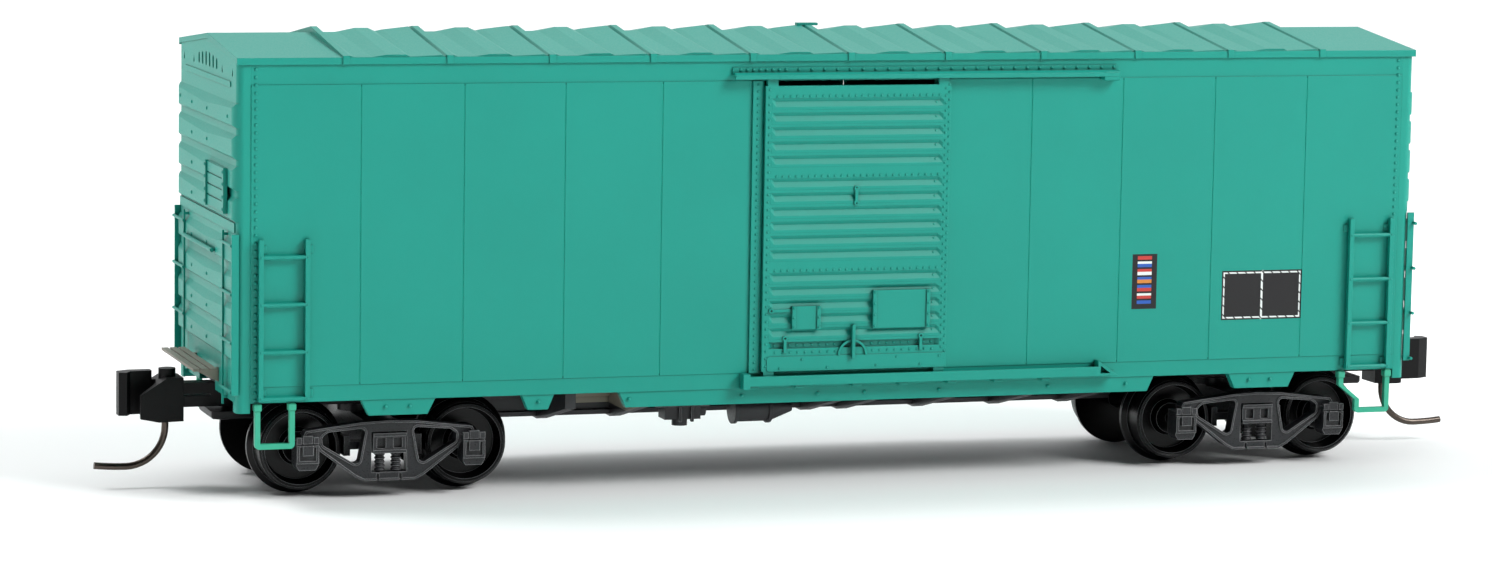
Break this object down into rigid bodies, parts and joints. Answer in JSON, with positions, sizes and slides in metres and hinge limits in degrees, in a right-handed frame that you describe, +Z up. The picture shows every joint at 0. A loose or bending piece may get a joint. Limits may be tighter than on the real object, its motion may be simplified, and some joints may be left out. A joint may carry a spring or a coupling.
{
  "type": "scale model railroad boxcar",
  "caption": "N gauge model of a 40 foot steel boxcar with sliding doors, ribbed ends, swivelling trucks, turning wheelsets and swinging couplers.",
  "frame": {"origin": "centre of the overall box at the height of the wheel flanges' lowest points; the rail head is 0.35 mm above it", "axes": "+X along the car towards end B, +Y across the car away from the near side, +Z up"},
  "size_m": [0.0934, 0.0192, 0.029],
  "materials": {
    "body_paint": "satin jade green paint on injection-moulded plastic",
    "step_plastic": "unpainted green moulded plastic, satin",
    "platform_plastic": "tan grey moulded plastic",
    "frame_plastic": "black moulded plastic, satin",
    "truck_plastic": "black acetal, satin",
    "wheel_plastic": "glossy black acetal",
    "coupler_plastic": "black acetal, satin",
    "trip_wire": "darkened steel wire",
    "weight_steel": "rolled steel, blackened"
  },
  "bodies": {
    "car": {"roof": "body_paint", "underframe": "frame_plastic", "weight_plate": "weight_steel", "side_near": "body_paint", "door_tracks_near": "body_paint", "side_far": "body_paint", "door_tracks_far": "body_paint", "end_a": "body_paint", "platform_a": "platform_plastic", "end_grab_a": "body_paint", "tack_board_a": "body_paint", "draft_box_a": "frame_plastic", "truck_pin_a": "frame_plastic", "end_b": "body_paint", "platform_b": "platform_plastic", "end_grab_b": "body_paint", "tack_board_b": "body_paint", "draft_box_b": "frame_plastic", "truck_pin_b": "frame_plastic", "side_ladder_a_near": "body_paint", "side_ladder_a_far": "body_paint", "side_ladder_b_near": "body_paint", "side_ladder_b_far": "body_paint", "end_ladder_a_near": "body_paint", "end_ladder_a_far": "body_paint", "end_ladder_b_near": "body_paint", "end_ladder_b_far": "body_paint", "stirrup_a_near": "step_plastic", "stirrup_a_far": "step_plastic", "stirrup_b_near": "step_plastic", "stirrup_b_far": "step_plastic", "brake_wheel": "body_paint", "brake_housing": "body_paint", "brake_valve": "frame_plastic", "brake_cylinder": "frame_plastic", "brake_reservoir": "frame_plastic"},
    "door_near": {"door_near": "body_paint"},
    "door_far": {"door_far": "body_paint"},
    "truck_a": {"truck_bolster_a": "truck_plastic", "sideframe_a_near": "truck_plastic", "sideframe_a_far": "truck_plastic"},
    "wheels_a_outer": {"wheelset_a_outer": "wheel_plastic"},
    "wheels_a_inner": {"wheelset_a_inner": "wheel_plastic"},
    "coupler_a": {"coupler_a": "coupler_plastic", "trip_pin_a": "trip_wire"},
    "truck_b": {"truck_bolster_b": "truck_plastic", "sideframe_b_near": "truck_plastic", "sideframe_b_far": "truck_plastic"},
    "wheels_b_outer": {"wheelset_b_outer": "wheel_plastic"},
    "wheels_b_inner": {"wheelset_b_inner": "wheel_plastic"},
    "coupler_b": {"coupler_b": "coupler_plastic", "trip_pin_b": "trip_wire"}
  },
  "joints": [
    {"name": "door_near_slide", "type": "slide", "parent": "car", "child": "door_near", "axis": [1, 0, 0], "range_m": [0, 0.0103]},
    {"name": "door_far_slide", "type": "slide", "parent": "car", "child": "door_far", "axis": [-1, 0, 0], "range_m": [0, 0.0103]},
    {"name": "truck_a_swivel", "type": "hinge", "parent": "car", "child": "truck_a", "pos_m": [-0.0295, 0, 0.00535], "axis": [0, 0, 1], "range_deg": [-10, 10]},
    {"name": "wheels_a_outer_spin", "type": "hinge", "parent": "truck_a", "child": "wheels_a_outer", "pos_m": [-0.03481, 0, 0.00305], "axis": [0, 1, 0], "continuous": true},
    {"name": "wheels_a_inner_spin", "type": "hinge", "parent": "truck_a", "child": "wheels_a_inner", "pos_m": [-0.02419, 0, 0.00305], "axis": [0, 1, 0], "continuous": true},
    {"name": "coupler_a_swing", "type": "hinge", "parent": "car", "child": "coupler_a", "pos_m": [-0.0363, 0, 0.00585], "axis": [0, 0, 1], "range_deg": [-10, 10], "stiffness_Nm_per_rad": 0.00005},
    {"name": "truck_b_swivel", "type": "hinge", "parent": "car", "child": "truck_b", "pos_m": [0.0295, 0, 0.00535], "axis": [0, 0, 1], "range_deg": [-10, 10]},
    {"name": "wheels_b_outer_spin", "type": "hinge", "parent": "truck_b", "child": "wheels_b_outer", "pos_m": [0.03481, 0, 0.00305], "axis": [0, 1, 0], "continuous": true},
    {"name": "wheels_b_inner_spin", "type": "hinge", "parent": "truck_b", "child": "wheels_b_inner", "pos_m": [0.02419, 0, 0.00305], "axis": [0, 1, 0], "continuous": true},
    {"name": "coupler_b_swing", "type": "hinge", "parent": "car", "child": "coupler_b", "pos_m": [0.0363, 0, 0.00585], "axis": [0, 0, 1], "range_deg": [-10, 10], "stiffness_Nm_per_rad": 0.00005}
  ]
}
